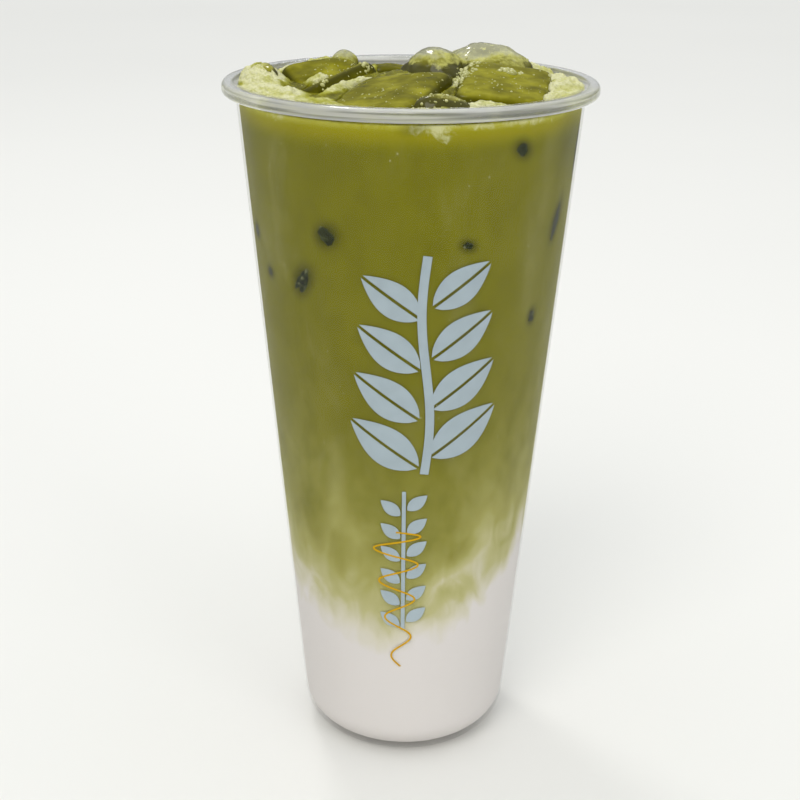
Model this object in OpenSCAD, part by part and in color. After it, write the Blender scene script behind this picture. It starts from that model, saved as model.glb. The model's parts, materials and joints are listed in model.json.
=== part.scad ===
// Iced matcha latte in a tall clear plastic cup: milk at the bottom, matcha above it,
// froth on top and ice standing out of the froth. Millimetres, +Z up.
// The origin is the centre of the face that the cup stands on.

/* [Cup] */
// Height from the ground to the top of the rim
cup_h = 184; // [150:1:225]
// Outer diameter of the rim
rim_d = 95; // [78:0.5:116]
// Width of the rim's flange outside the wall
rim_w = 3.4; // [2.6:0.1:6]
// Height of the rim's lip
rim_t = 3.2; // [2.6:0.1:6]
// Radius of the lip's round outer edges
rim_round = 1.3; // [0.4:0.1:1.3]
// Radius of the mouth's round inner edge
mouth_round = 0.5; // [0.2:0.05:0.6]
// Outer diameter of the straight wall, carried down to the ground
foot_d = 56.2; // [46:0.2:68]
// Thickness of the wall
wall_t = 0.7; // [0.55:0.05:1.4]
// Thickness of the floor
floor_t = 1.2; // [0.8:0.1:2.4]
// Outer radius of the round corner between the wall and the floor
corner_r = 9.5; // [6:0.5:12]
// Height of the hollow under the floor
hollow_h = 1; // [0.5:0.1:2]
// Width of the ring that the cup stands on
ring_w = 2.4; // [1.5:0.1:4]

/* [Drink] */
// Drop from the top of the rim to the drink's surface
level_drop = 2.4; // [1.6:0.2:20]
// Height of the milk at the middle of the cup
milk_h = 58; // [30:1:90]
// Slope of the milk's top, rising towards +X, in degrees
milk_tilt = 5; // [0:0.5:10]
// Thickness of the froth layer
froth_t = 3; // [1:0.2:8]
// Reach of the largest froth mound above the drink's surface
mound_rise = 5.4; // [2:0.2:8]
// Half width of the largest froth mound
mound_reach = 13; // [9:0.5:16]

/* [Ice] */
// Edge of a whole ice cube
ice_edge = 26; // [21:0.5:32]
// Reach of the highest ice above the drink's surface
ice_rise = 7.6; // [3:0.2:10]
// Share of a cube's half diagonal that is left after melting
ice_melt = 0.88; // [0.8:0.01:0.95]
// Least gap between two pieces of ice, and between ice and wall
ice_gap = 0.3; // [0.2:0.05:1]

/* [Hidden] */
wall_top_r = rim_d / 2 - rim_w;
wall_lean = (wall_top_r - foot_d / 2) / cup_h;
lean_angle = atan(wall_lean);
wall_across = wall_t / cos(lean_angle);
inner_round = corner_r - wall_t;
floor_z = hollow_h + floor_t;
level_z = cup_h - level_drop;
froth_z = level_z - froth_t;
mouth_r = wall_r(level_z) - wall_across;
arc_steps = 10;
// Height of the tall tool solids, more than the cup and what stands out of it
reach = 2 * cup_h;

// Pieces of ice. Each has its centre across the mouth as shares of the mouth's radius,
// its top above the drink as a share of ice_rise, its size in whole cubes, and its turns.
ICE = [
    // back left, under the froth ridge, and its clear knob
    [[-0.54, 0.38], 0.42, [0.68, 0.74, 0.80], [4, -6, 28]],
    [[-0.37, 0.73], 0.84, [0.38, 0.32, 0.50], [6, 8, -12]],
    // slab on edge beside the big middle slab
    [[-0.45, -0.20], 0.24, [0.30, 1.02, 0.70], [-4, -9, -14]],
    // big middle slab
    [[-0.07, -0.33], 0.34, [0.82, 1.24, 0.80], [7, 3, -10]],
    // small dome at the back
    [[-0.10, 0.73], 0.16, [0.40, 0.44, 0.46], [0, 6, 15]],
    // twin domes behind the slabs
    [[0.055, 0.34], 0.80, [0.48, 0.68, 0.86], [8, -4, 2]],
    [[0.455, 0.53], 1.00, [0.68, 0.62, 0.92], [-6, 5, -14]],
    // big right slab
    [[0.55, -0.19], 0.38, [0.80, 1.12, 0.74], [5, -4, 18]],
    // chip at the front
    [[0.15, -0.84], 0.34, [0.36, 0.34, 0.40], [-8, 8, 12]],
    // chip in the left mound
    [[-0.855, 0.02], 0.72, [0.28, 0.34, 0.40], [10, -10, 25]],
];

// Froth mounds: centre as shares of the mouth's radius, then rise and half width as
// shares of the largest mound's.
MOUNDS = [
    [[-0.84, 0.16], 1.00, 1.00],
    [[-0.86, -0.16], 0.84, 0.95],
    [[-0.70, -0.46], 0.55, 0.90],
    [[-0.46, -0.72], 0.34, 0.80],
    [[-0.60, 0.50], 0.80, 0.95],
    [[-0.40, 0.20], 0.42, 0.62],
    [[-0.32, 0.62], 0.62, 0.75],
    [[0.40, -0.78], 0.46, 0.62],
    [[0.04, -0.86], 0.30, 0.55],
    [[0.86, 0.10], 0.40, 0.85],
    [[0.84, -0.22], 0.34, 0.75],
    [[0.72, 0.46], 0.44, 0.90],
];

function ice_name(i) = str("ice_", i + 1);

// Radius of the wall's outside at height z.
function wall_r(z) = foot_d / 2 + wall_lean * z;

// Points of an arc about a centre, from one angle to another.
function arc(centre, r, from, to) = [
    for (k = [0:arc_steps])
        let (a = from + (to - from) * k / arc_steps)
        centre + r * [cos(a), sin(a)]
];

// Middle of the arc that rounds a wall line, at radius line_r on the height floor_at,
// into a floor at that height.
function corner_centre(line_r, floor_at, r) =
    [line_r - r * (1 - sin(lean_angle)) / cos(lean_angle), floor_at + r];

// Outline of the cup's inside, from the axis along the floor and up the wall to top_z.
function inside_outline(top_z) = concat(
    [[0, floor_z]],
    arc(
        corner_centre(wall_r(floor_z) - wall_across, floor_z, inner_round),
        inner_round, -90, -lean_angle
    ),
    [[wall_r(top_z) - wall_across, top_z]]
);

// The cup's inside as a solid up to top_z.
module inside(top_z) {
    rotate_extrude($fn = 128) polygon(concat(inside_outline(top_z), [[0, top_z]]));
}

// Room for what stands in the mouth: the inside, carried straight up above the rim.
module mouth_room(gap) {
    rotate_extrude($fn = 128) polygon([
        [0, floor_z + corner_r],
        [wall_r(floor_z + corner_r) - wall_across - gap, floor_z + corner_r],
        [mouth_r - gap, level_z],
        [mouth_r - gap, reach],
        [0, reach],
    ]);
}

module cup() {
    foot = corner_centre(foot_d / 2, 0, corner_r);
    mouth_in = wall_r(cup_h) - wall_across;
    lip_z = cup_h - rim_t;
    color([0.87, 0.90, 0.90, 0.35])
    rotate_extrude($fn = 128) polygon(concat(
        [[0, hollow_h], [foot.x - ring_w - hollow_h, hollow_h], [foot.x - ring_w, 0]],
        arc(foot, corner_r, -90, -lean_angle),
        [[wall_r(lip_z), lip_z]],
        arc([rim_d / 2 - rim_round, lip_z + rim_round], rim_round, -90, 0),
        arc([rim_d / 2 - rim_round, cup_h - rim_round], rim_round, 0, 90),
        arc([mouth_in + mouth_round, cup_h - mouth_round], mouth_round, 90, 180),
        [for (k = [len(inside_outline(level_z)) - 1:-1:0]) inside_outline(level_z)[k]]
    ));
}

// Half space below the milk's sloping top, or above it.
module below_milk_line() {
    translate([0, 0, milk_h]) rotate([0, -milk_tilt, 0])
        translate([-reach / 2, -reach / 2, -reach]) cube(reach);
}

module milk() {
    color([0.84, 0.82, 0.81]) intersection() {
        inside(froth_z);
        below_milk_line();
    }
}

module matcha() {
    color([0.46, 0.45, 0.17]) difference() {
        inside(froth_z);
        below_milk_line();
        for (i = [0:len(ICE) - 1]) ice_solid(i);
    }
}

// Cap of a sphere that stands rise above the drink and is reach_out wide each way.
module mound(centre, rise, reach_out) {
    r = (pow(reach_out, 2) + pow(rise, 2)) / (2 * rise);
    translate([centre.x, centre.y, level_z + rise - r]) sphere(r, $fn = 96);
}

module froth() {
    color([0.80, 0.80, 0.67]) difference() {
        union() {
            difference() {
                inside(level_z);
                translate([-reach / 2, -reach / 2, froth_z - reach]) cube(reach);
            }
            intersection() {
                mouth_room(0);
                translate([-reach / 2, -reach / 2, level_z - froth_t / 2]) cube(reach);
                union() for (m = MOUNDS)
                    mound(mouth_r * m[0], mound_rise * m[1], mound_reach * m[2]);
            }
        }
        for (i = [0:len(ICE) - 1]) ice_solid(i);
    }
}

// One melted cube: a box whose corners are rounded off by a sphere. grow widens it all
// round, as the tool that keeps the next piece clear.
module melted_cube(i, grow = 0) {
    size = ice_edge * ICE[i][2];
    half_diagonal = norm(size) / 2;
    translate([mouth_r * ICE[i][0].x, mouth_r * ICE[i][0].y,
               level_z + ice_rise * ICE[i][1] - size.z / 2])
        rotate(ICE[i][3]) intersection() {
            cube(size + 2 * grow * [1, 1, 1], center = true);
            sphere(ice_melt * half_diagonal + grow, $fn = 96);
        }
}

// A piece of ice as it lies: inside the mouth, and clear of the pieces before it.
module ice_solid(i) {
    difference() {
        intersection() {
            melted_cube(i);
            mouth_room(ice_gap);
        }
        if (i > 0) for (j = [0:i - 1]) melted_cube(j, ice_gap);
    }
}

module ice(i) {
    color([0.74, 0.75, 0.58, 0.6]) ice_solid(i);
}

cup();
milk();
matcha();
froth();
for (i = [0:len(ICE) - 1])
    ice(i);
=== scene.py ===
"""Iced matcha latte in a tall clear plastic cup, finished over its construction model."""

import json
import math
import random

import bmesh
import bpy
from bpy.props import (
    FloatProperty,
    FloatVectorProperty,
    IntProperty,
    PointerProperty,
)
from mathutils import Matrix, Vector, noise
from mathutils.bvhtree import BVHTree

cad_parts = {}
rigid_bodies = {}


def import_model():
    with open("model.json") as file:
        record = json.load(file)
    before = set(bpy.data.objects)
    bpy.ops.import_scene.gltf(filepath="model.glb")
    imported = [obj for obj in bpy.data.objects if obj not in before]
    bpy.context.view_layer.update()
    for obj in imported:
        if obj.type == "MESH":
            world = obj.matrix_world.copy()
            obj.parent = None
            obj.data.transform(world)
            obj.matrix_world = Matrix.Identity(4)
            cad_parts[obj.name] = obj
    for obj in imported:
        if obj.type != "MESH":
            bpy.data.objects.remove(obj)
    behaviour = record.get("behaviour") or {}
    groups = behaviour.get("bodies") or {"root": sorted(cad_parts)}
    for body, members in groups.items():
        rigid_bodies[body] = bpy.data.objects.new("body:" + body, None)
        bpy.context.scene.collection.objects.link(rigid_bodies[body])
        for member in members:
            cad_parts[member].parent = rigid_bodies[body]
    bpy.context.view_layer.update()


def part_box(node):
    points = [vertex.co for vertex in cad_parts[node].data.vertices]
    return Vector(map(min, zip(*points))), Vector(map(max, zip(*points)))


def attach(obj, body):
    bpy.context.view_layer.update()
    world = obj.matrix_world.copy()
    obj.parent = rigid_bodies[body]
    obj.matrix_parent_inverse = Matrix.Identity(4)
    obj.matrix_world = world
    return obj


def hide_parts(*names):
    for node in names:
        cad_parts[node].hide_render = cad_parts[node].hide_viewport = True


bl_info = {
    "name": "Iced Matcha Latte",
    "version": (1, 0, 0),
    "blender": (4, 5, 0),
    "location": "View3D > Sidebar > Latte",
    "description": "Builds the drink, its froth and ice, and the printed cup that holds them",
    "category": "Add Mesh",
}

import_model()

MM = 0.001
# Radius of the wall's line where it meets the table, and the sizes of the cup around it.
FOOT_R = 28.1 * MM
CUP_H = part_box("cup")[1].z
RIM_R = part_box("cup")[1].x
RIM_W = 3.4 * MM
LEAN = (RIM_R - RIM_W - FOOT_R) / CUP_H
LEAN_ANGLE = math.atan(LEAN)
# Height of the drink's surface.
LEVEL = CUP_H - 2.4 * MM
# Steps round the cup's axis of every turned piece.
ROUND_STEPS = 240


# ---------------------------------------------------------------- shapes


def wall_radius(z):
    """Radius of the wall's outside at height z."""
    return FOOT_R + LEAN * z


def arc(centre, radius, start, end, steps):
    """Points of an arc in the plane of radius and height, angles in degrees."""
    points = []
    for k in range(steps + 1):
        angle = math.radians(start + (end - start) * k / steps)
        points.append((centre[0] + radius * math.cos(angle), centre[1] + radius * math.sin(angle)))
    return points


def corner_centre(line_radius, floor_z, radius):
    """Middle of the arc that rounds the leaning wall into a floor."""
    back = radius * (1 - math.sin(LEAN_ANGLE)) / math.cos(LEAN_ANGLE)
    return line_radius - back, floor_z + radius


def spun(name, outline):
    """A solid of revolution from an outline of (radius, height) points, axis to axis."""
    bm = bmesh.new()
    points = [bm.verts.new((r, 0, z)) for r, z in outline]
    for a, b in zip(points, points[1:]):
        bm.edges.new((a, b))
    bmesh.ops.spin(
        bm,
        geom=bm.verts[:] + bm.edges[:],
        cent=(0, 0, 0),
        axis=(0, 0, 1),
        angle=2 * math.pi,
        steps=ROUND_STEPS,
        use_merge=True,
    )
    bmesh.ops.remove_doubles(bm, verts=bm.verts, dist=1e-6)
    bmesh.ops.recalc_face_normals(bm, faces=bm.faces)
    return finished(name, bm)


def finished(name, bm, smooth=True):
    """Turns a bmesh into a linked object with its place in its mesh."""
    mesh = bpy.data.meshes.new(name)
    bm.to_mesh(mesh)
    bm.free()
    for face in mesh.polygons:
        face.use_smooth = smooth
    piece = bpy.data.objects.new(name, mesh)
    bpy.context.scene.collection.objects.link(piece)
    return piece


def seat(piece, material, slot, *nodes):
    """Gives a piece its material and its body, and hides the nodes it stands for. Its slot is not
    used.
    """
    piece.data.materials.clear()
    piece.data.materials.append(material)
    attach(piece, "root")
    if nodes:
        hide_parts(*nodes)


def hill(x, y, centre, half, turn=0.0):
    """A smooth hill of height one over an ellipse, zero outside it."""
    dx, dy = x - centre[0], y - centre[1]
    c, s = math.cos(math.radians(turn)), math.sin(math.radians(turn))
    u, v = (dx * c + dy * s) / half[0], (dy * c - dx * s) / half[1]
    reach = u * u + v * v
    return (1 - reach) ** 2 if reach < 1 else 0.0


def tree_of(pieces):
    """A search tree over the meshes of several pieces."""
    points, faces = [], []
    for piece in pieces:
        base = len(points)
        points.extend(v.co.copy() for v in piece.data.vertices)
        faces.extend([base + i for i in p.vertices] for p in piece.data.polygons)
    return BVHTree.FromPolygons(points, faces)


def drop_onto(tree, x, y):
    """Where a point above (x, y) falls on the tree's surface, and the normal there."""
    place, normal, _, _ = tree.ray_cast(Vector((x, y, CUP_H * 1.5)), Vector((0, 0, -1)))
    return place, normal


# ---------------------------------------------------------------- materials


class Shades:
    """Builds one material's node tree."""

    def __init__(self, name):
        self.material = bpy.data.materials.new(name)
        self.material.use_nodes = True
        self.tree = self.material.node_tree
        self.tree.nodes.clear()
        self.out = self.tree.nodes.new("ShaderNodeOutputMaterial")

    def node(self, kind, **settings):
        made = self.tree.nodes.new("ShaderNode" + kind)
        for key, value in settings.items():
            setattr(made, key, value)
        return made

    def put(self, value, socket):
        """Links an output to a socket, or sets the socket to a plain value."""
        if isinstance(value, bpy.types.NodeSocket):
            self.tree.links.new(value, socket)
        else:
            socket.default_value = value

    def coords(self):
        return self.node("TexCoord").outputs["Object"]

    def scaled(self, vector, scale, shift=(0, 0, 0)):
        mapping = self.node("Mapping")
        self.put(vector, mapping.inputs["Vector"])
        mapping.inputs["Scale"].default_value = scale
        mapping.inputs["Location"].default_value = shift
        return mapping.outputs["Vector"]

    def noise(self, vector, size, detail=2.0, rough=0.5, distort=0.0):
        """Noise whose lumps are about size metres across."""
        made = self.node("TexNoise")
        self.put(vector, made.inputs["Vector"])
        made.inputs["Scale"].default_value = 1 / size
        made.inputs["Detail"].default_value = detail
        made.inputs["Roughness"].default_value = rough
        made.inputs["Distortion"].default_value = distort
        return made.outputs["Fac"]

    def cells(self, vector, size):
        """Distance from scattered points about size metres apart, in shares of size."""
        made = self.node("TexVoronoi")
        self.put(vector, made.inputs["Vector"])
        made.inputs["Scale"].default_value = 1 / size
        return made.outputs["Distance"]

    def maths(self, operation, a, b=0.0):
        made = self.node("Math", operation=operation)
        for value, socket in zip((a, b), made.inputs):
            self.put(value, socket)
        return made.outputs[0]

    def span(self, value, low, high, to_low=0.0, to_high=1.0, smooth=True):
        """Maps low..high to to_low..to_high, held at its ends."""
        made = self.node("MapRange")
        made.interpolation_type = "SMOOTHSTEP" if smooth else "LINEAR"
        for item, socket in zip((value, low, high, to_low, to_high), made.inputs):
            self.put(item, socket)
        return made.outputs[0]

    def ramp(self, value, stops):
        """A colour ramp from (place, colour) pairs."""
        made = self.node("ValToRGB")
        self.put(value, made.inputs[0])
        stripe = made.color_ramp
        while len(stripe.elements) < len(stops):
            stripe.elements.new(0.5)
        for element, (place, colour) in zip(stripe.elements, stops):
            element.position = place
            element.color = (*colour, 1)
        return made.outputs[0]

    def blend(self, amount, a, b, mode="MIX"):
        """Mixes two colours."""
        made = self.node("Mix", data_type="RGBA", blend_type=mode)
        self.put(amount, made.inputs[0])
        for value, socket in ((a, made.inputs[6]), (b, made.inputs[7])):
            self.put((*value, 1) if isinstance(value, tuple) else value, socket)
        return made.outputs[2]

    def bump(self, height, depth, strength=1.0):
        made = self.node("Bump")
        made.inputs["Strength"].default_value = strength
        made.inputs["Distance"].default_value = depth
        self.put(height, made.inputs["Height"])
        return made.outputs["Normal"]

    def surface(self, colour, roughness, normal=None, **plain):
        """A principled shader. plain values go straight onto its own sockets."""
        made = self.node("BsdfPrincipled")
        self.put((*colour, 1) if isinstance(colour, tuple) else colour, made.inputs["Base Color"])
        self.put(roughness, made.inputs["Roughness"])
        if normal is not None:
            self.put(normal, made.inputs["Normal"])
        for key, value in plain.items():
            self.put(value, made.inputs[key.replace("_", " ")])
        return made.outputs[0]

    def lamps_through(self, shader, tint):
        """Lets lamp light through, so that what a clear piece holds is lit."""
        clear = self.node("BsdfTransparent")
        clear.inputs[0].default_value = (*tint, 1)
        made = self.node("MixShader")
        self.put(self.node("LightPath").outputs["Is Shadow Ray"], made.inputs[0])
        self.put(shader, made.inputs[1])
        self.put(clear.outputs[0], made.inputs[2])
        return made.outputs[0]

    def finish(self, shader):
        self.put(shader, self.out.inputs["Surface"])
        return self.material


def display(red, green, blue):
    """A colour given in display steps of 0 to 255, as the linear light it stands for."""
    return tuple(
        c / 12.92 if c <= 0.04045 else ((c + 0.055) / 1.055) ** 2.4
        for c in (red / 255, green / 255, blue / 255)
    )


def cup_material(settings):
    m = Shades("clear cup plastic")
    at = m.coords()
    place = m.node("SeparateXYZ")
    m.put(at, place.inputs[0])
    across = m.node("VectorMath", operation="LENGTH")
    m.put(m.scaled(at, (1, 1, 0)), across.inputs[0])
    out = m.maths("SUBTRACT", across.outputs["Value"], m.maths("MULTIPLY", place.outputs[2], LEAN))
    # The thick rim and foot are cloudier than the thin wall.
    rim = m.span(out, FOOT_R + 0.2 * MM, FOOT_R + 0.9 * MM)
    foot = m.span(place.outputs[2], 2.6 * MM, 1.2 * MM)
    thick = m.maths("MAXIMUM", rim, m.maths("MULTIPLY", foot, 0.3))
    flow = m.noise(m.scaled(at, (1, 1, 0.25)), 9 * MM, 2)
    bands = m.noise(m.scaled(at, (0.08, 0.08, 2.6)), 3 * MM, 2)
    rough = m.span(flow, 0.3, 0.7, 0.04, 0.08)
    normal = m.bump(flow, 0.02 * MM, 0.4)
    cloudy = m.ramp(
        bands,
        [
            (0.36, display(156, 159, 158)),
            (0.50, display(186, 188, 185)),
            (0.60, display(230, 231, 229)),
        ],
    )
    z, lip = place.outputs[2], CUP_H - settings.lip
    # Painted highlight: a pale line along the rim's top edge and along the lower edge of its lip.
    painted_highlight = m.maths(
        "MAXIMUM",
        m.span(z, CUP_H - 0.9 * MM, CUP_H - 0.3 * MM),
        m.maths("MULTIPLY", rim, m.span(z, lip + 1.0 * MM, lip + 0.3 * MM)),
    )
    cloudy = m.blend(m.maths("MULTIPLY", painted_highlight, 0.8), cloudy, (0.97, 0.975, 0.97))
    colour = m.blend(thick, (0.975, 0.98, 0.98), cloudy)
    # The wall above the drink mirrors it, and so looks darker.
    neck = m.span(z, LEVEL - 0.6 * MM, LEVEL + 0.3 * MM)
    neck = m.maths("MULTIPLY", neck, m.span(z, CUP_H - 0.2 * MM, CUP_H - 1.4 * MM))
    neck = m.maths("MULTIPLY", neck, m.maths("SUBTRACT", 1.0, rim))
    colour = m.blend(neck, colour, display(140, 137, 122))
    milky = m.maths("MULTIPLY", thick, m.span(bands, 0.3, 0.7, 0.8, 1.0))
    see = m.span(milky, 0, 1, 1.0, 0.55, smooth=False)
    solid = m.maths("MAXIMUM", m.span(thick, 0, 1, 0.20, 1.0), m.maths("MULTIPLY", neck, 0.8))
    shader = m.surface(colour, rough, normal, IOR=1.5, Transmission_Weight=see, Alpha=solid)
    return m.finish(m.lamps_through(shader, (0.96, 0.965, 0.965)))


def drink_material():
    m = Shades("milk and matcha")
    at = m.coords()
    place = m.node("SeparateXYZ")
    m.put(at, place.inputs[0])
    x, _, z = place.outputs
    cloud = m.node("Attribute", attribute_name="cloud").outputs["Fac"]
    shade = m.node("Attribute", attribute_name="shade").outputs["Fac"]
    froth = m.node("Attribute", attribute_name="froth").outputs["Fac"]
    # The milk climbs 14 mm at 30 mm to either side, more on the right, and hangs in clouds.
    side = m.maths("MULTIPLY", m.maths("MULTIPLY", x, x), 14 / (30 * 30 * MM))
    climb = m.maths("ADD", side, m.maths("MULTIPLY", x, 0.16))
    wisp = m.noise(m.scaled(at, (1, 1, 0.6)), 7 * MM, 3, 0.5, 1.2)
    broad = m.noise(m.scaled(at, (1, 1, 0.7), (3, 1, 2)), 20 * MM, 2, 0.5, 0.6)
    stir = m.maths("ADD", m.maths("MULTIPLY", wisp, 0.55), broad)
    stir = m.maths("SUBTRACT", stir, 0.775)
    loose = m.maths(
        "MULTIPLY",
        m.span(z, 22 * MM, 60 * MM, 1 * MM, 36 * MM),
        m.span(z, 90 * MM, 150 * MM, 1.0, 0.0),
    )
    height = m.maths("SUBTRACT", z, climb)
    height = m.maths("ADD", height, m.maths("MULTIPLY", stir, loose))
    height = m.maths("SUBTRACT", height, m.maths("MULTIPLY", cloud, 22 * MM))
    body = m.ramp(
        m.maths("DIVIDE", height, CUP_H),
        [
            (0.00, display(219, 214, 210)),
            (0.195, display(217, 212, 208)),
            (0.225, display(209, 204, 184)),
            (0.265, display(184, 180, 130)),
            (0.32, display(162, 158, 90)),
            (0.40, display(142, 139, 66)),
            (0.50, display(126, 123, 44)),
            (0.62, display(118, 115, 26)),
            (1.00, display(117, 115, 20)),
        ],
    )
    # Milky haze drifts through the green.
    haze = m.noise(m.scaled(at, (1, 1, 0.5), (1, 5, 0)), 15 * MM, 3, 0.6, 0.6)
    green = m.span(height, 50 * MM, 85 * MM)
    veil = m.maths("ADD", m.span(haze, 0.50, 0.80, 0.0, 0.22), m.maths("MULTIPLY", cloud, 0.5))
    veil = m.maths("MULTIPLY", green, m.maths("MAXIMUM", veil, 0.0))
    body = m.blend(veil, body, display(160, 158, 110))
    # Darker and lighter mottling, and fine specks against the wall.
    mottle = m.noise(m.scaled(at, (1, 1, 0.7)), 6 * MM, 4, 0.62)
    dark = m.maths("MULTIPLY", green, m.span(mottle, 0.35, 0.7, 0.0, 0.32))
    body = m.blend(dark, body, display(96, 94, 12))
    speck = m.span(m.cells(at, 3.2 * MM), 0.10, 0.05, 0.0, 0.40)
    trail = m.maths("MULTIPLY", m.span(haze, 0.46, 0.58), m.maths("MULTIPLY", green, speck))
    body = m.blend(trail, body, display(196, 196, 150))
    # Under the rim the green turns yellower, and froth shows through in patches whose pale colour is
    # also painted light, lifting the shade under the rim.
    near_top = m.span(z, LEVEL - 9 * MM, LEVEL - 2 * MM)
    body = m.blend(m.maths("MULTIPLY", near_top, 0.8), body, display(158, 152, 16))
    # Painted light: a lighter band just under the rim, in patches of froth.
    close = m.span(z, LEVEL - 3.6 * MM, LEVEL - 0.9 * MM)
    froth_and_painted_light = m.maths("MULTIPLY", close, m.span(mottle, 0.3, 0.55))
    body = m.blend(m.maths("MULTIPLY", froth_and_painted_light, 0.75), body, display(196, 194, 92))
    crumbs = m.noise(at, 2.2 * MM, 5, 0.72, 0.9)
    edge = m.maths("ADD", m.maths("MULTIPLY", crumbs, 1.1), m.maths("MULTIPLY", froth, 0.5))
    body = m.blend(m.span(edge, 0.70, 1.02, 0.0, 0.85), body, display(202, 201, 150))
    body = m.blend(m.maths("MULTIPLY", shade, 0.9), body, display(44, 48, 22))
    shader = m.surface(body, 0.6, None, IOR=1.33, Specular_IOR_Level=0.02)
    return m.finish(shader)


def froth_material():
    m = Shades("froth")
    at = m.coords()
    foam = m.node("Attribute", attribute_name="foam").outputs["Fac"]
    cloud = m.noise(at, 3.5 * MM, 4, 0.65)
    fine = m.noise(at, 0.8 * MM, 3, 0.65)
    bubbles = m.cells(at, 0.8 * MM)
    amount = m.maths("ADD", foam, m.maths("MULTIPLY", m.maths("SUBTRACT", cloud, 0.5), 1.1))
    colour = m.ramp(
        amount,
        [
            (0.05, display(84, 81, 4)),
            (0.30, display(122, 119, 14)),
            (0.50, display(158, 157, 60)),
            (0.70, display(188, 187, 122)),
            (0.95, display(208, 206, 164)),
        ],
    )
    colour = m.blend(m.span(fine, 0.3, 0.6, 0.40, 0.0), colour, display(126, 126, 46))
    height = m.maths("ADD", m.maths("MULTIPLY", bubbles, 0.4), m.maths("MULTIPLY", fine, 0.9))
    depth = m.span(amount, 0.3, 0.8, 0.1, 1.0)
    normal = m.bump(m.maths("MULTIPLY", height, depth), 0.5 * MM, 0.8)
    rough = m.span(amount, 0.2, 0.6, 0.22, 0.6)
    shader = m.surface(
        colour, rough, normal, IOR=1.2, Specular_IOR_Level=0.2,
        Subsurface_Weight=0.25, Subsurface_Radius=(1.0, 1.0, 0.5), Subsurface_Scale=1.0 * MM,
    )
    return m.finish(shader)


def film_colour(m, at):
    """Colour of ice under a film of drink, with painted shade on its sides."""
    lumps = m.noise(at, 8 * MM, 3, 0.55)
    side = m.node("Attribute", attribute_name="side").outputs["Fac"]
    green = m.ramp(
        lumps,
        [
            (0.32, display(90, 87, 0)),
            (0.48, display(113, 109, 4)),
            (0.66, display(142, 138, 28)),
        ],
    )
    patch = m.span(m.noise(at, 3.0 * MM, 4, 0.65), 0.52, 0.78, 0.0, 0.3)
    green = m.blend(patch, green, display(144, 140, 56))
    speck = m.cells(at, 3.4 * MM)
    green = m.blend(m.span(speck, 0.08, 0.04, 0.0, 0.5), green, display(176, 175, 100))
    # The side attribute paints shade onto the ice's sides.
    return m.blend(m.maths("MULTIPLY", side, 0.92), green, display(62, 60, 2))


def slab_material():
    m = Shades("ice under a film of drink")
    at = m.coords()
    swell = m.noise(at, 5.0 * MM, 2)
    normal = m.bump(swell, 0.2 * MM, 0.3)
    rough = m.span(swell, 0.3, 0.7, 0.12, 0.24)
    shader = m.surface(film_colour(m, at), rough, normal, IOR=1.2, Specular_IOR_Level=0.1)
    return m.finish(shader)


def clear_material():
    m = Shades("clear wet ice")
    at = m.coords()
    place = m.node("SeparateXYZ")
    m.put(at, place.inputs[0])
    clear = m.node("Attribute", attribute_name="clear").outputs["Fac"]
    film = m.noise(m.scaled(at, (1, 1, 1.4)), 5 * MM, 4, 0.62)
    # The higher the ice stands, the thinner is the film of drink that clings to it.
    ragged = m.maths("MULTIPLY", m.maths("SUBTRACT", film, 0.5), 7 * MM)
    stand = m.maths("ADD", place.outputs[2], ragged)
    stand = m.maths("ADD", stand, m.maths("MULTIPLY", clear, MM))
    bare = m.span(stand, LEVEL + 6.2 * MM, LEVEL + 8.6 * MM)
    foamy = m.span(m.noise(at, 2.0 * MM, 4, 0.7), 0.36, 0.62, 0.25, 0.9)
    high = m.span(stand, LEVEL + 4.6 * MM, LEVEL + 5.6 * MM)
    green = m.blend(m.maths("MULTIPLY", foamy, high), film_colour(m, at), display(184, 182, 92))
    colour = m.blend(bare, green, display(222, 221, 182))
    # Flecks of foam cling to the bare ice too.
    fleck = m.span(m.noise(m.scaled(at, (1, 1, 1), (3, 3, 3)), 1.6 * MM, 4, 0.75), 0.57, 0.66)
    colour = m.blend(m.maths("MULTIPLY", fleck, bare), colour, display(198, 197, 130))
    bare = m.maths("MULTIPLY", bare, m.maths("SUBTRACT", 1.0, m.maths("MULTIPLY", fleck, 0.9)))
    see = m.span(bare, 0.0, 1.0, 0.05, 0.65, smooth=False)
    normal = m.bump(m.noise(at, 3.0 * MM, 2), 0.25 * MM, 0.35)
    shader = m.surface(
        colour, m.span(film, 0.3, 0.7, 0.06, 0.12), normal,
        IOR=1.31, Transmission_Weight=see, Specular_IOR_Level=0.5,
    )
    return m.finish(m.lamps_through(shader, (0.7, 0.72, 0.55)))


def sunken_material():
    m = Shades("sunken ice")
    at = m.coords()
    cloud = m.noise(at, 1.2 * MM, 3, 0.6)
    # The palest stop paints small highlights onto the sunken ice.
    colour = m.ramp(
        cloud,
        [
            (0.35, display(24, 30, 16)),
            (0.60, display(48, 54, 26)),
            (0.78, display(150, 154, 110)),
        ],
    )
    return m.finish(m.surface(colour, 0.5, m.bump(cloud, 0.1 * MM, 0.4), IOR=1.15))


def bubble_material():
    m = Shades("bubbles")
    at = m.coords()
    tone = m.noise(at, 1.5 * MM, 2)
    colour = m.ramp(
        tone,
        [
            (0.30, display(150, 149, 70)),
            (0.60, display(182, 181, 116)),
            (0.85, display(210, 209, 168)),
        ],
    )
    shader = m.surface(
        colour, 0.2, m.bump(m.noise(at, 0.4 * MM), 0.05 * MM, 0.3),
        Coat_Weight=0.2, Coat_Roughness=0.1,
    )
    return m.finish(shader)


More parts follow.
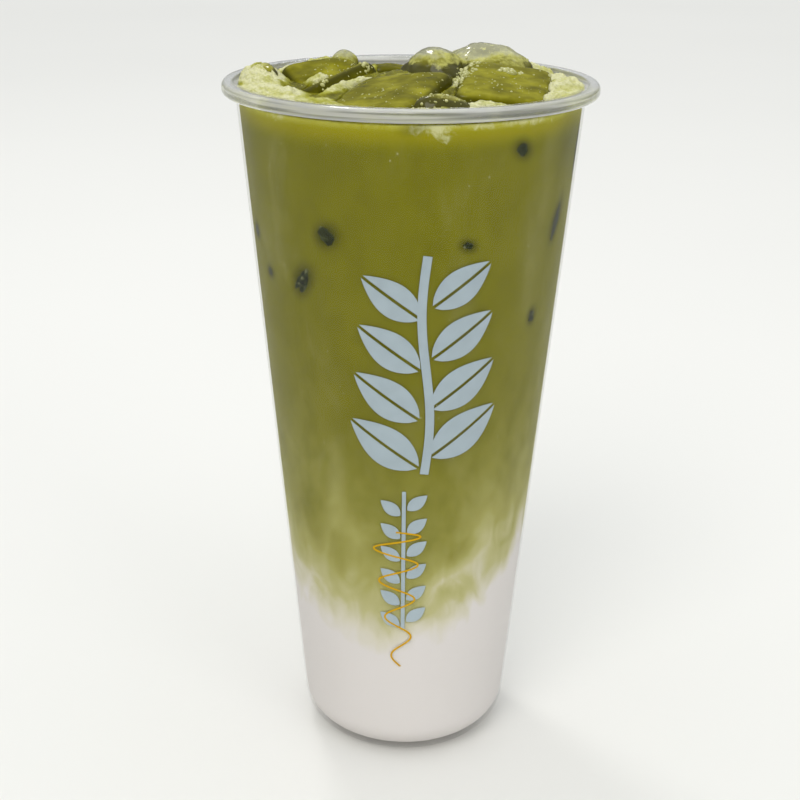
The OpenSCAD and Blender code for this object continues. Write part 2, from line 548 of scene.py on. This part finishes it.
def ink_material(name, colour):
    m = Shades(name)
    at = m.coords()
    film = m.noise(at, 5 * MM, 3, 0.6)
    dots = m.noise(at, 0.5 * MM, 2)
    darker = tuple(c * 0.86 for c in colour)
    shade = m.blend(m.span(film, 0.3, 0.7, 0.0, 0.6), colour, darker)
    normal = m.bump(dots, 0.02 * MM, 0.4)
    rough = m.span(film, 0.3, 0.7, 0.36, 0.48)
    return m.finish(m.surface(shade, rough, normal, Specular_IOR_Level=0.2))


def floor_material(settings):
    m = Shades("pale floor")
    at = m.coords()
    cloud = m.noise(at, 0.5, 2)
    grain = m.noise(at, 0.004, 2)
    base = tuple(settings.floor_colour)
    shade = m.blend(m.span(cloud, 0.3, 0.7), base, tuple(c * 0.985 for c in base))
    return m.finish(m.surface(shade, 0.6, m.bump(grain, 0.00005, 0.15)))


# ---------------------------------------------------------------- settings


class LatteSettings(bpy.types.PropertyGroup):
    """Sizes and colours of the drink and its cup."""

    wall: FloatProperty(
        name="Wall", description="Thickness of the cup's wall", default=0.7 * MM, unit="LENGTH"
    )
    floor_height: FloatProperty(
        name="Floor height",
        description="Height of the cup's inner floor above the table",
        default=2.2 * MM,
        unit="LENGTH",
    )
    corner: FloatProperty(
        name="Corner",
        description="Outer radius of the corner between wall and floor",
        default=9.5 * MM,
        unit="LENGTH",
    )
    lip: FloatProperty(
        name="Lip", description="Height of the rim's lip", default=3.2 * MM, unit="LENGTH"
    )
    bite: FloatProperty(
        name="Bite",
        description="Depth that the drink reaches into the wall, so that no air shows",
        default=0.3 * MM,
        unit="LENGTH",
    )
    lump: FloatProperty(
        name="Froth lumps",
        description="Height of the lumps in the froth",
        default=0.8 * MM,
        unit="LENGTH",
    )
    ink: FloatProperty(
        name="Ink", description="Thickness of the print on the cup", default=0.05 * MM, unit="LENGTH"
    )
    bubbles: IntProperty(
        name="Bubbles", description="Number of small bubbles on the surface", default=520
    )
    print_colour: FloatVectorProperty(
        name="Print colour",
        description="Colour of the printed leaves",
        default=display(166, 180, 186),
        subtype="COLOR",
    )
    line_colour: FloatVectorProperty(
        name="Line colour",
        description="Colour of the thin printed line",
        default=display(204, 158, 0),
        subtype="COLOR",
    )
    floor_colour: FloatVectorProperty(
        name="Floor colour",
        description="Colour of the floor under the cup",
        default=display(226, 225, 220),
        subtype="COLOR",
    )


# ---------------------------------------------------------------- pieces


def inside_outline(settings, grow, top):
    """The cup's inside from the axis to the wall at top, widened by grow."""
    floor_z = settings.floor_height
    across = settings.wall / math.cos(LEAN_ANGLE)
    round_r = settings.corner - settings.wall + grow
    floor_z -= grow
    middle = corner_centre(wall_radius(floor_z) - across + grow, floor_z, round_r)
    outline = [(0, floor_z)]
    outline += arc(middle, round_r, -90, -math.degrees(LEAN_ANGLE), 10)
    outline.append((wall_radius(top) - across + grow, top))
    return outline


def cup_outline(settings):
    """The cup's section from the axis under its floor, round the rim, to the axis inside."""
    lip_z = CUP_H - settings.lip
    foot = corner_centre(FOOT_R, 0, settings.corner)
    ring, hollow = 2.4 * MM, 1.0 * MM
    edge_round, mouth_round, bead = 1.25 * MM, 0.45 * MM, 0.25 * MM
    mouth = wall_radius(CUP_H) - settings.wall
    outline = [(0, hollow), (foot[0] - ring - hollow, hollow), (foot[0] - ring, 0)]
    outline += arc(foot, settings.corner, -90, -math.degrees(LEAN_ANGLE), 12)
    outline.append((wall_radius(lip_z) + bead, lip_z))
    outline += arc((RIM_R - edge_round, lip_z + edge_round), edge_round, -90, 0, 8)
    outline += arc((RIM_R - edge_round, CUP_H - edge_round), edge_round, 0, 90, 8)
    outline.append((mouth + 1.5 * MM, CUP_H - 0.22 * MM))
    outline += arc((mouth + mouth_round, CUP_H - mouth_round), mouth_round, 90, 180, 6)
    outline += reversed(inside_outline(settings, 0, LEVEL))
    return outline


class LATTE_OT_cup(bpy.types.Operator):
    """Makes the clear plastic cup with its foot ring and solid rim"""

    bl_idname = "latte.cup"
    bl_label = "Cup"

    def execute(self, context):
        settings = context.scene.latte
        piece = spun("cup_shell", cup_outline(settings))
        seat(piece, cup_material(settings), "cup_plastic", "cup")
        return {"FINISHED"}


# Marks on the drink where it meets the wall: turn round the cup in degrees from the front,
# height in millimetres, half width and half height in millimetres, lean in degrees, strength.
CLOUDS = [
    (-31, 86, 4.0, 17, 6, 0.55),
    (-24, 68, 4.0, 8, 20, 0.25),
    (33, 80, 8.0, 12, 0, 0.30),
    (48, 150, 8.0, 22, 0, 0.35),
    (-54, 146, 7.0, 17, 0, 0.25),
    (20, 100, 6.0, 16, -10, 0.20),
    (-46, 74, 6.0, 14, 0, -0.60),
    (-31, 65, 5.0, 11, 10, -0.45),
    (25, 66, 8.0, 6, -20, -0.35),
    (27, 54, 9.0, 5, 20, -0.40),
    (4, 52, 13.0, 9, 0, -0.35),
    (110, 80, 8.0, 16, 5, 0.50),
    (150, 70, 9.0, 12, 0, -0.40),
    (200, 84, 7.0, 18, -6, 0.50),
    (245, 68, 8.0, 12, 0, -0.40),
]
FROTH_MARKS = [
    (5, 179.4, 9.0, 2.4, -8, 0.85),
    (10, 177.8, 4.5, 3.2, 20, 0.70),
    (20, 179.8, 12, 2.0, 8, 0.75),
    (38, 180.2, 14, 2.6, 5, 0.80),
    (-14, 181.0, 12, 1.4, 0, 0.45),
    (-46, 180.0, 8, 3.0, -6, 0.70),
    (-80, 180.5, 16, 3.0, 0, 0.70),
    (80, 180.5, 12, 3.0, 0, 0.70),
    (130, 180.0, 20, 2.6, 0, 0.60),
    (200, 180.5, 20, 3.0, 0, 0.60),
    (240, 180.0, 14, 2.6, 0, 0.60),
]
# Darker places seen through the wall: the front chip, and painted shade on the drink's top at either
# side.
DUSK = [
    (1, 179.2, 5.5, 2.4, -6, 0.5),
    (66, 174, 15, 15, 0, 0.38),
    (-72, 175, 14, 14, 0, 0.22),
]
# Touches of sunken ice at the wall, in the same way, without a strength.
TOUCHES = [
    (-28.5, 152.5, 1.9, 2.2, -20),
    (-40, 140, 1.5, 3.6, 35),
    (-60, 139, 0.9, 1.0, 0),
    (20, 151, 1.2, 0.9, 20),
    (62, 153, 1.3, 4.2, 20),
    (52, 129.5, 0.9, 1.7, 0),
    (38, 173, 1.7, 1.5, 30),
    (78, 169, 1.0, 5.5, 5),
    (120, 150, 2.0, 1.8, 10),
    (150, 128, 1.3, 2.6, 30),
    (185, 160, 1.9, 2.0, -20),
    (215, 138, 1.2, 2.2, 15),
    (250, 165, 1.7, 2.6, -30),
    (290, 148, 1.2, 1.4, 0),
]


def marked(turn, height, marks):
    """Sum of the marks at a place on the wall, each fading out smoothly."""
    total = 0.0
    for at, level, half_w, half_h, lean, strength in marks:
        along = math.radians((turn - at + 180) % 360 - 180) * wall_radius(level * MM) / MM
        if abs(along) < half_w + half_h and abs(height - level) < half_w + half_h:
            total += strength * hill(along, height - level, (0, 0), (half_w, half_h), -lean)
    return total


class LATTE_OT_drink(bpy.types.Operator):
    """Makes the milk and matcha as one body that fills the cup into its wall"""

    bl_idname = "latte.drink"
    bl_label = "Drink"

    def execute(self, context):
        settings = context.scene.latte
        under_froth, row_height = 1.2 * MM, 1.1 * MM
        top = LEVEL - under_froth
        outline = inside_outline(settings, settings.bite, top)
        low, high = Vector(outline[-2]), Vector(outline.pop())
        rows = int((high - low).length / row_height)
        outline += [tuple(low.lerp(high, k / rows)) for k in range(1, rows + 1)]
        outline.append((0, top))
        piece = spun("drink", outline)
        shadows = [(t, h, 2.6 * a + 0.8, 1.9 * b + 0.8, lean, 1.0) for t, h, a, b, lean in TOUCHES]
        shadows += DUSK
        for name, marks in (("cloud", CLOUDS), ("froth", FROTH_MARKS), ("shade", shadows)):
            layer = piece.data.attributes.new(name, "FLOAT", "POINT")
            for vert, value in zip(piece.data.vertices, layer.data):
                turn = math.degrees(math.atan2(vert.co.x, -vert.co.y))
                value.value = marked(turn, vert.co.z / MM, marks)
        seat(piece, drink_material(), "matcha", "milk", "matcha")
        return {"FINISHED"}


# Pieces of ice in millimetres and degrees: centre across the mouth, top above the drink,
# half widths, squareness of the melted block, turns, height of its lumps, share of its
# half height where the painted shade on its sides ends, and how bare of film it is, zero for not at
# all.
ICE = {
    "ice_1": ((-22, 16), 2.3, (10.5, 10.5, 9), 6.5, (15, -4, 22), 0.35, 0.955, 0.0),
    "ice_2": ((-18.3, 27), 5.9, (4.2, 4.2, 6), 2.1, (6, 8, -12), 0.5, 0.60, 2.2),
    "ice_3": ((-17, 5.5), 2.6, (4.6, 16.5, 8), 6.5, (5, -24, -27), 0.3, 1.02, 0.0),
    "ice_4": ((-4.5, -17), 2.5, (12.6, 20.5, 10), 7.0, (5.8, -7.5, -17), 0.35, 0.955, 0.0),
    "ice_5": ((-5, 31), 1.7, (8.5, 7.0, 6), 2.6, (0, 6, 15), 0.4, 1.02, 0.0),
    "ice_6": ((6.6, 17), 8.1, (11.2, 11, 13), 1.9, (4, -3, 0), 0.8, 0.82, 0.5),
    "ice_7": ((20.2, 22), 8.3, (13.0, 12, 13), 2.4, (-4, 4, -8), 0.8, 0.68, 1.0),
    "ice_8": ((22.8, -6.5), 3.7, (11.8, 19, 10), 7.0, (6.4, 6.0, -8), 0.35, 0.955, 0.0),
    "ice_9": ((7.5, -35.5), 4.0, (6.8, 3.6, 5), 2.4, (-8, 4, 8), 0.6, 0.85, 1.4),
    "ice_10": ((-37, 4), 5.0, (3.4, 4.6, 3.8), 2.8, (10, -22, 20), 0.5, 0.80, 0.4),
}


def melted(node, centre, top, half, square, turns, lump, shoulder, clear):
    """A block of ice with its edges melted round and its faces a little uneven."""
    fine = 6 if max(half) > 9 else 5
    wave_size, wall_gap, fade = 7, 2.0 * MM, 0.09
    edge_from, edge_over, plain = 0.55, 0.35, 0.45
    bm = bmesh.new()
    made = bmesh.ops.create_icosphere(bm, subdivisions=fine, radius=1)["verts"]
    seed = Vector((int(node[4:]) * 7.3, 1.7, 4.1))
    turn = Matrix.Identity(4)
    for axis, angle in zip("XYZ", turns):
        turn = Matrix.Rotation(math.radians(angle), 4, axis) @ turn
    middle = Vector((centre[0], centre[1], LEVEL / MM + top - half[2])) * MM
    place = Matrix.Translation(middle) @ turn
    sides = []
    for vert in made:
        way = vert.co.copy()
        reach = sum(abs(c) ** square for c in way) ** (-1 / square)
        block = Vector(c * h for c, h in zip(way * reach, half))
        wave = noise.fractal(block / wave_size + seed, 1.0, 2.0, 3)
        # Painted shade on the block's sides, below its shoulder.
        dark = min(1.0, max(0.0, (shoulder + 0.02 * wave - block.z / half[2]) / fade))
        if shoulder > 1:
            # A piece that shows only its sides gets its darkest painted shade along its edges.
            widest = sorted(abs(c) for c in way)
            edge = min(1.0, max(0.0, (widest[1] / widest[2] - edge_from) / edge_over))
            dark *= plain + (1 - plain) * edge
        sides.append(dark)
        block += way * (lump * wave)
        vert.co = place @ (block * MM)
        # No corner comes nearer to the wall's outside than the gap.
        most = wall_radius(min(vert.co.z, LEVEL)) - wall_gap
        out = math.hypot(vert.co.x, vert.co.y)
        if out > most:
            vert.co.x *= most / out
            vert.co.y *= most / out
    bmesh.ops.recalc_face_normals(bm, faces=bm.faces)
    piece = finished(node.replace("ice", "ice_piece"), bm)
    for name, values in (("clear", [clear] * len(sides)), ("side", sides)):
        piece.data.attributes.new(name, "FLOAT", "POINT").data.foreach_set("value", values)
    return piece


class LATTE_OT_ice(bpy.types.Operator):
    """Makes the melting pieces of ice that stand out of the froth"""

    bl_idname = "latte.ice"
    bl_label = "Ice"

    def execute(self, context):
        slab, clear = slab_material(), clear_material()
        for node, shape in ICE.items():
            seat(melted(node, *shape), clear if shape[-1] > 0 else slab, "ice", node)
        return {"FINISHED"}


# Froth mounds in millimetres: centre, half widths, turn in degrees, rise and paleness.
MOUNDS = [
    ((-38.5, 6), (8.5, 18), 8, 4.9, 0.95),
    ((-35, -15), (12, 17), 20, 2.1, 0.88),
    ((-24, -26), (15, 9), -40, 0.9, 0.56),
    ((-30, 20), (7, 8), 40, 2.6, 0.55),
    ((-21, 26), (15, 6.5), 6, 3.9, 0.45),
    ((-10, 29), (9, 5), -10, 1.8, 0.25),
    ((-23, 4), (5, 6), 20, 3.0, 0.75),
    ((-14.5, -1), (17, 3.2), 60, 2.4, 0.80),
    ((37, -2), (9.5, 16), 4, 3.3, 0.90),
    ((36, -17), (8, 11), -28, 1.4, 0.75),
    ((32, 27), (14, 9), -40, 2.6, 0.75),
    ((17, -33), (11, 5.5), 22, 2.0, 0.78),
    ((-1, -39), (11, 4), -4, 0.8, 0.70),
    ((11.5, -1), (2.8, 11), -14, 2.4, 0.85),
    ((10, 38), (22, 5), -8, 0.6, 0.30),
    ((0, 14), (13, 13), 0, 2.6, 0.05),
    ((24, 18), (15, 15), 0, 3.4, 0.08),
]


def froth_height(x, y, lump):
    """Height of the froth above the drink's level and how pale it is, at (x, y) in mm."""
    rise, pale = 0.0, 0.12
    for centre, half, turn, tall, tone in MOUNDS:
        here = hill(x, y, centre, half, turn)
        rise = max(rise, tall * here ** 0.75)
        pale = max(pale, tone * min(1.0, here * 3.0) ** 0.6)
    place = Vector((x, y, 0))
    swirl = noise.fractal(place / 6.0, 1.0, 2.0, 3)
    curds = noise.fractal(place / 2.0 + Vector((5, 2, 8)), 0.8, 2.1, 4)
    pale += swirl * 0.25
    rise += (swirl * 0.9 + curds * 0.7) * lump * (0.15 + pale)
    return rise, pale


def edge_climb(ice, x, y):
    """Height to which froth climbs at the nearest ice, and the level distance to it, in mm."""
    most_climb, below_edge, slope = 3.4, 0.6, 0.8
    near, _, _, _ = ice.find_nearest(Vector((x, y, LEVEL + 5 * MM)))
    away = math.hypot(near.x - x, near.y - y) / MM
    return min((near.z - LEVEL) / MM, most_climb) - below_edge - slope * away, away


class LATTE_OT_froth(bpy.types.Operator):
    """Makes the froth as one lumpy sheet over the whole mouth, lower where ice stands"""

    bl_idname = "latte.froth"
    bl_label = "Froth"

    def execute(self, context):
        settings = context.scene.latte
        ice = tree_of([o for o in context.scene.objects if o.name.startswith("ice_piece")])
        radius = wall_radius(LEVEL) - settings.wall + settings.bite
        cells = 290
        # Millimetres: the painted shade line and the pale band round the ice, and how the sheet dips.
        line, band, dip, thin, lowest = 0.7, 2.4, 1.2, 0.4, -1.0
        bm = bmesh.new()
        bmesh.ops.create_grid(bm, x_segments=cells, y_segments=cells, size=1)
        pale_layer = bm.verts.layers.float.new("foam")
        for vert in bm.verts:
            u, v = vert.co.x, vert.co.y
            x = radius * u * math.sqrt(1 - v * v / 2)
            y = radius * v * math.sqrt(1 - u * u / 2)
            top, _ = drop_onto(ice, x, y)
            over = -9.0 if top is None else (top.z - LEVEL) / MM
            rise, pale = froth_height(x / MM, y / MM, settings.lump / MM)
            climb, away = edge_climb(ice, x, y)
            if climb > rise:
                rise = climb
            # Painted shade: the froth darkens in a thin line where it meets the ice.
            if away < line:
                pale -= 0.35
            elif away < band:
                pale += 0.22 * (1 - away / band)
            if over > rise - thin:
                rise = min(rise, over - dip)
            vert.co = (x, y, LEVEL + max(rise, lowest) * MM)
            vert[pale_layer] = min(1.0, max(0.0, pale))
        rim = [e for e in bm.edges if e.is_boundary]
        skirt = bmesh.ops.extrude_edge_only(bm, edges=rim)["geom"]
        for vert in (g for g in skirt if isinstance(g, bmesh.types.BMVert)):
            vert.co.z = LEVEL - 1.6 * MM
        bmesh.ops.holes_fill(bm, edges=[e for e in bm.edges if e.is_boundary], sides=0)
        bmesh.ops.recalc_face_normals(bm, faces=bm.faces)
        piece = finished("froth_top", bm)
        seat(piece, froth_material(), "froth", "froth")
        return {"FINISHED"}


def on_wall(turn, height, out=0.0):
    """A place on the wall's outside, turned round the cup from the front."""
    angle = math.radians(turn) - math.pi / 2
    r = wall_radius(height) + out
    return Vector((r * math.cos(angle), r * math.sin(angle), height))


class LATTE_OT_sunken_ice(bpy.types.Operator):
    """Makes the corners of sunken ice that touch the wall inside the drink"""

    bl_idname = "latte.sunken_ice"
    bl_label = "Sunken ice"

    def execute(self, context):
        settings = context.scene.latte
        bm = bmesh.new()
        for index, (turn, height, half_w, half_h, lean) in enumerate(TOUCHES):
            made = bmesh.ops.create_icosphere(bm, subdivisions=4, radius=1)["verts"]
            middle = on_wall(turn, height * MM, -settings.wall)
            size = Matrix.Diagonal((half_w * MM, 1.2 * MM, half_h * MM, 1))
            for vert in made:
                bend = noise.fractal(vert.co * 1.3 + Vector((index * 3.1, 0, 0)), 1.0, 2.0, 3)
                vert.co *= 1 + 0.5 * bend
            spin = Matrix.Rotation(math.radians(turn), 4, "Z")
            tip = Matrix.Rotation(math.radians(lean), 4, "Y")
            bmesh.ops.transform(bm, matrix=Matrix.Translation(middle) @ spin @ tip @ size, verts=made)
            # Nothing reaches further into the wall than a hair past the drink.
            limit = settings.wall - settings.bite - 0.06 * MM
            for vert in made:
                r = math.hypot(vert.co.x, vert.co.y)
                most = wall_radius(vert.co.z) - limit
                if r > most:
                    vert.co.x *= most / r
                    vert.co.y *= most / r
        bmesh.ops.recalc_face_normals(bm, faces=bm.faces)
        piece = finished("sunken_ice", bm)
        seat(piece, sunken_material(), "ice")
        return {"FINISHED"}


# Clusters of bubbles in millimetres: centre, spread, share of all the bubbles and radius.
CLUSTERS = [
    ((12.6, -1), (2.2, 12), 0.18, 0.55),
    ((14.5, 6), (4.0, 8), 0.08, 0.45),
    ((25, -1), (2.4, 3), 0.06, 0.75),
    ((-2, -24), (22, 12), 0.13, 0.20),
    ((24, -12), (14, 12), 0.12, 0.20),
    ((-17, 14), (12, 14), 0.10, 0.28),
    ((-11.5, 14), (2.0, 2.5), 0.03, 0.60),
    ((-22, -4.5), (2.5, 2.5), 0.03, 0.60),
    ((-15, -33), (2.0, 1.5), 0.015, 0.55),
    ((6, -37), (12, 4), 0.10, 0.28),
    ((15, 20), (16, 7), 0.08, 0.26),
    ((0, 0), (38, 38), 0.10, 0.20),
]


class LATTE_OT_bubbles(bpy.types.Operator):
    """Makes the small bubbles and foam crumbs that lie on the froth and ice"""

    bl_idname = "latte.bubbles"
    bl_label = "Bubbles"

    def execute(self, context):
        settings = context.scene.latte
        tops = [o for o in context.scene.objects if o.name.startswith(("ice_piece", "froth_top"))]
        tree = tree_of(tops)
        draw = random.Random(11)
        reach = wall_radius(LEVEL) - settings.wall - 1 * MM
        highest = CUP_H + 3.5 * MM
        bm = bmesh.new()
        for (cx, cy), (sx, sy), share, radius in CLUSTERS:
            for _ in range(int(settings.bubbles * share)):
                x, y = draw.gauss(cx, sx / 2) * MM, draw.gauss(cy, sy / 2) * MM
                size = radius * (0.5 + 1.1 * draw.random() ** 3) * MM
                if math.hypot(x, y) > reach - size:
                    continue
                place, normal = drop_onto(tree, x, y)
                if place is None or place.z > highest:
                    continue
                turn = normal.to_track_quat("Z", "Y").to_matrix().to_4x4()
                squash = Matrix.Diagonal((1, 1, draw.uniform(0.6, 0.95), 1))
                bmesh.ops.create_icosphere(
                    bm,
                    subdivisions=2,
                    radius=size,
                    matrix=Matrix.Translation(place) @ turn @ squash,
                )
        piece = finished("bubbles", bm)
        seat(piece, bubble_material(), "froth")
        return {"FINISHED"}


# ---------------------------------------------------------------- print


def printed(name, bm, lift, ink):
    """Wraps a flat print, drawn in x along the wall and z up, round the cup, ink thick."""
    step = 1.5 * MM
    low = min(v.co.x for v in bm.verts)
    high = max(v.co.x for v in bm.verts)
    for k in range(1, int((high - low) / step) + 1):
        bmesh.ops.bisect_plane(
            bm,
            geom=bm.verts[:] + bm.edges[:] + bm.faces[:],
            plane_co=(low + k * step, 0, 0),
            plane_no=(1, 0, 0),
        )
    for vert in bm.verts:
        turn = math.degrees(vert.co.x / wall_radius(vert.co.z))
        vert.co = on_wall(turn, vert.co.z, lift)
    bmesh.ops.recalc_face_normals(bm, faces=bm.faces)
    made = bmesh.ops.extrude_face_region(bm, geom=bm.faces[:])["geom"]
    for vert in (g for g in made if isinstance(g, bmesh.types.BMVert)):
        out = Vector((vert.co.x, vert.co.y, 0)).normalized()
        vert.co += out * ink
    bmesh.ops.recalc_face_normals(bm, faces=bm.faces)
    return finished(name, bm, smooth=False)


def leaf(bm, foot, length, width, lean, gap):
    """A flat leaf of two halves either side of a bare vein, leaning in degrees."""
    turn = Matrix.Rotation(math.radians(lean), 4, "Y")
    steps = 14
    for side in (-1, 1):
        points = []
        for k in range(steps + 1):
            t = k / steps
            bulge = math.sin(math.pi * t ** 0.85) ** 0.9
            points.append(Vector((side * (gap / 2 + width / 2 * bulge), 0, length * t)))
        spine = [Vector((side * gap / 2, 0, length * k / steps)) for k in range(steps - 1, 0, -1)]
        ring = [bm.verts.new(Vector(foot) + turn @ p) for p in points + spine]
        bm.faces.new(ring)


def strip(bm, points, width):
    """A flat ribbon of even width along points in x and z."""
    half = width / 2
    pairs = []
    for k, point in enumerate(points):
        ahead = points[min(k + 1, len(points) - 1)]
        behind = points[max(k - 1, 0)]
        along = (ahead - behind).normalized()
        across = Vector((-along.z, 0, along.x)) * half
        pairs.append((bm.verts.new(point - across), bm.verts.new(point + across)))
    for (a, b), (c, d) in zip(pairs, pairs[1:]):
        bm.faces.new((a, b, d, c))


class LATTE_OT_print(bpy.types.Operator):
    """Makes the printed sprig of leaves, the small one under it and the thin line"""

    bl_idname = "latte.print"
    bl_label = "Print"

    def execute(self, context):
        settings = context.scene.latte
        self.sprig(settings)
        self.line(settings)
        return {"FINISHED"}

    def sprig(self, settings):
        bm = bmesh.new()
        steps = 24
        # The tall sprig sways a little, and its leaves grow smaller upwards.
        middle, sway = 4.5 * MM, 1.2 * MM
        stem = []
        for k in range(steps + 1):
            x = middle + sway * math.sin(k / steps * math.pi * 2)
            stem.append(Vector((x, 0, (91 + 58 * k / steps) * MM)))
        strip(bm, stem, 2.2 * MM)
        for k in range(4):
            foot_z = (93 + 13.4 * k) * MM
            size = (21 - 1.2 * k) * MM
            for side in (-1, 1):
                foot = (middle + side * 1.6 * MM, 0, foot_z + (3 * MM if side > 0 else 0))
                leaf(bm, foot, size, size * 0.46, side * 54, 0.8 * MM)
        # The small sprig stands straight, and its leaves have no vein.
        twig = -0.5 * MM
        stem = [Vector((twig, 0, (44 + 42 * k / steps) * MM)) for k in range(steps + 1)]
        strip(bm, stem, 1.0 * MM)
        for k in range(6):
            foot_z = (45 + 6.8 * k) * MM
            for side in (-1, 1):
                foot = (twig + side * 0.9 * MM, 0, foot_z + (1.6 * MM if side > 0 else 0))
                leaf(bm, foot, 6.6 * MM, 3.5 * MM, side * 50, 0.0)
        shell = printed("print_sprig", bm, 0.01 * MM, settings.ink)
        seat(shell, ink_material("pale print", tuple(settings.print_colour)), "cup_plastic")

    def line(self, settings):
        bm = bmesh.new()
        count, waves = 260, 4
        points = []
        for k in range(count + 1):
            t = k / count
            swing = 6.5 - 4.5 * t
            wind = math.sin(t ** 0.8 * math.pi * waves * 2)
            points.append(Vector((-2.5 + 1.5 * t + swing * wind, 0, 74 - 42 * t)) * MM)
        strip(bm, points, 0.5 * MM)
        # The line lies a little higher than the sprig that it crosses.
        shell = printed("print_line", bm, 0.05 * MM, settings.ink)
        seat(shell, ink_material("gold print", tuple(settings.line_colour)), "cup_plastic")


# ---------------------------------------------------------------- stage


# The sky's strength goes from dim to bright between two heights, each the sine of an angle.
SKY_HEIGHTS, SKY_STRENGTHS = (0.15, 0.85), (0.20, 1.15)
SKY_COLOUR = (0.95, 0.975, 1.0, 1)
# Strength, width in degrees, way and colour of the soft light from the window.
WINDOW_STRENGTH, WINDOW_WIDTH = 1.15, 36
WINDOW_WAY, WINDOW_COLOUR = (0.22, 0.66, -0.72), (1.0, 0.985, 0.96)
# Area lights: place, size in metres, power in watts and colour. They aim at the cup's middle.
LAMPS = {
    "fill": ((0.8, -0.9, 0.5), (0.5, 1.0), 2.5, (0.96, 0.98, 1.0)),
    "glint": ((-0.25, 0.5, 1.1), (0.16, 0.16), 2.0, (1.0, 1.0, 1.0)),
}
LAMP_AIM = (0, 0, 0.15)
# Place of the camera in metres, its turns in degrees, and its lens in millimetres.
CAMERA_PLACE = (0, -0.359, 0.236)
CAMERA_TURN, CAMERA_NOD, CAMERA_ROLL = 0.31, 68.86, 0.56
LENS = 63.2


def area_light(name, place, size, power, colour):
    """A rectangular lamp that points at the cup."""
    lamp = bpy.data.lights.new(name, "AREA")
    lamp.shape = "RECTANGLE"
    lamp.size, lamp.size_y = size
    lamp.energy = power
    lamp.color = colour
    holder = bpy.data.objects.new(name, lamp)
    holder.location = place
    way = Vector(LAMP_AIM) - Vector(place)
    holder.rotation_euler = way.to_track_quat("-Z", "Y").to_euler()
    bpy.context.scene.collection.objects.link(holder)


class LATTE_OT_stage(bpy.types.Operator):
    """Makes the floor, the soft studio light and the camera"""

    bl_idname = "latte.stage"
    bl_label = "Stage"

    def execute(self, context):
        settings = context.scene.latte
        self.floor(settings)
        self.lights(context.scene)
        self.camera(context.scene)
        return {"FINISHED"}

    def floor(self, settings):
        bm = bmesh.new()
        bmesh.ops.create_grid(bm, x_segments=8, y_segments=8, size=60)
        piece = finished("floor", bm, smooth=False)
        piece.data.materials.append(floor_material(settings))

    def lights(self, scene):
        world = bpy.data.worlds.new("soft room")
        world.use_nodes = True
        tree = world.node_tree
        background = tree.nodes["Background"]
        background.inputs[0].default_value = SKY_COLOUR
        place = tree.nodes.new("ShaderNodeTexCoord")
        parts = tree.nodes.new("ShaderNodeSeparateXYZ")
        fade = tree.nodes.new("ShaderNodeMapRange")
        fade.interpolation_type = "SMOOTHSTEP"
        tree.links.new(place.outputs["Generated"], parts.inputs[0])
        tree.links.new(parts.outputs[2], fade.inputs[0])
        for socket, value in zip(fade.inputs[1:5], SKY_HEIGHTS + SKY_STRENGTHS):
            socket.default_value = value
        tree.links.new(fade.outputs[0], background.inputs[1])
        scene.world = world
        sun = bpy.data.lights.new("window", "SUN")
        sun.energy = WINDOW_STRENGTH
        sun.angle = math.radians(WINDOW_WIDTH)
        sun.color = WINDOW_COLOUR
        holder = bpy.data.objects.new("window", sun)
        holder.rotation_euler = Vector(WINDOW_WAY).to_track_quat("-Z", "Y").to_euler()
        scene.collection.objects.link(holder)
        for name, lamp in LAMPS.items():
            area_light(name, *lamp)
        scene.view_settings.view_transform = "Standard"

    def camera(self, scene):
        data = bpy.data.cameras.new("camera")
        data.sensor_width = 36
        data.lens = LENS
        data.clip_start = 0.01
        holder = bpy.data.objects.new("camera", data)
        turn = Matrix.Rotation(math.radians(CAMERA_TURN), 4, "Z")
        nod = Matrix.Rotation(math.radians(CAMERA_NOD), 4, "X")
        roll = Matrix.Rotation(math.radians(CAMERA_ROLL), 4, "Z")
        holder.matrix_world = Matrix.Translation(CAMERA_PLACE) @ turn @ nod @ roll
        scene.collection.objects.link(holder)
        scene.camera = holder


# ---------------------------------------------------------------- add-on


class LATTE_PT_panel(bpy.types.Panel):
    """Lists the pieces of the drink in the sidebar"""

    bl_label = "Iced Matcha Latte"
    bl_idname = "LATTE_PT_panel"
    bl_space_type = "VIEW_3D"
    bl_region_type = "UI"
    bl_category = "Latte"

    def draw(self, context):
        settings = context.scene.latte
        for key in LatteSettings.__annotations__:
            self.layout.prop(settings, key)
        for operator in OPERATORS:
            self.layout.operator(operator.bl_idname)


OPERATORS = [
    LATTE_OT_stage,
    LATTE_OT_cup,
    LATTE_OT_drink,
    LATTE_OT_ice,
    LATTE_OT_froth,
    LATTE_OT_sunken_ice,
    LATTE_OT_bubbles,
    LATTE_OT_print,
]
CLASSES = [LatteSettings, *OPERATORS, LATTE_PT_panel]


def register():
    for item in CLASSES:
        bpy.utils.register_class(item)
    bpy.types.Scene.latte = PointerProperty(type=LatteSettings)


def unregister():
    del bpy.types.Scene.latte
    for item in reversed(CLASSES):
        bpy.utils.unregister_class(item)


def main():
    register()
    bpy.ops.latte.stage()
    bpy.ops.latte.cup()
    bpy.ops.latte.drink()
    bpy.ops.latte.ice()
    bpy.ops.latte.froth()
    bpy.ops.latte.sunken_ice()
    bpy.ops.latte.bubbles()
    bpy.ops.latte.print()


if __name__ == "__main__":
    main()
